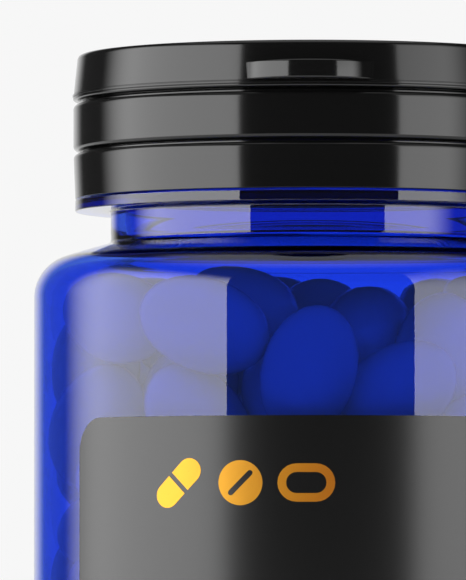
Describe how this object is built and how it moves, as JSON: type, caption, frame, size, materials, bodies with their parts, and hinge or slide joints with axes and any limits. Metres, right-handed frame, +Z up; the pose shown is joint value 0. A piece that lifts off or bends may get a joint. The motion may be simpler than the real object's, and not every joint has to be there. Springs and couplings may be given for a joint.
{
  "type": "softgel bottle",
  "caption": "Clear blue round bottle of softgels with a black wrap label and a black screw cap that has a hinged flip-top lid and a tamper-evident band.",
  "frame": {"origin": "centre of the base, on the surface that the bottle stands on", "axes": "+Z up along the bottle's axis, -Y to the front of the label and the thumb tab, +Y to the living hinge"},
  "size_m": [0.062, 0.0622, 0.1217],
  "materials": {
    "blue_pet": "clear cobalt-blue PET, polished",
    "label_film": "satin black self-adhesive film",
    "gold_foil": "hot-stamped gold foil",
    "black_plastic": "glossy black polypropylene",
    "liner_foam": "white foamed liner",
    "softgel_shell": "smooth gelatin shell"
  },
  "bodies": {
    "bottle": {"bottle": "blue_pet", "front_label": "label_film", "label_foil": "gold_foil", "softgels_row_1": "softgel_shell", "softgels_row_2": "softgel_shell", "softgels_row_3": "softgel_shell", "softgels_row_4": "softgel_shell", "softgels_row_5": "softgel_shell", "softgels_row_6": "softgel_shell", "softgels_row_7": "softgel_shell", "softgels_row_8": "softgel_shell"},
    "tamper_band": {"tamper_band": "black_plastic"},
    "liner": {"liner_ring": "liner_foam"},
    "cap": {"cap_base": "black_plastic", "hinge_film": "black_plastic"},
    "lid": {"lid": "black_plastic"}
  },
  "joints": [
    {"name": "cap_lift", "type": "slide", "parent": "bottle", "child": "liner", "axis": [0, 0, 1], "range_m": [0, 0.003]},
    {"name": "cap_turn", "type": "hinge", "parent": "liner", "child": "cap", "pos_m": [0, 0, 0.11082], "axis": [0, 0, 1], "range_deg": [0, 360]},
    {"name": "lid_flip", "type": "hinge", "parent": "cap", "child": "lid", "pos_m": [0, 0.02735, 0.11632], "axis": [-1, 0, 0], "range_deg": [0, 135], "deforming": ["hinge_film"]},
    {"name": "band_turn", "type": "hinge", "parent": "bottle", "child": "tamper_band", "pos_m": [0, 0, 0.1055], "axis": [0, 0, 1], "continuous": true}
  ],
  "couplings": [
    {"joint": "cap_lift", "follows": "cap_turn", "m_per_rad": 0.00047746}
  ]
}
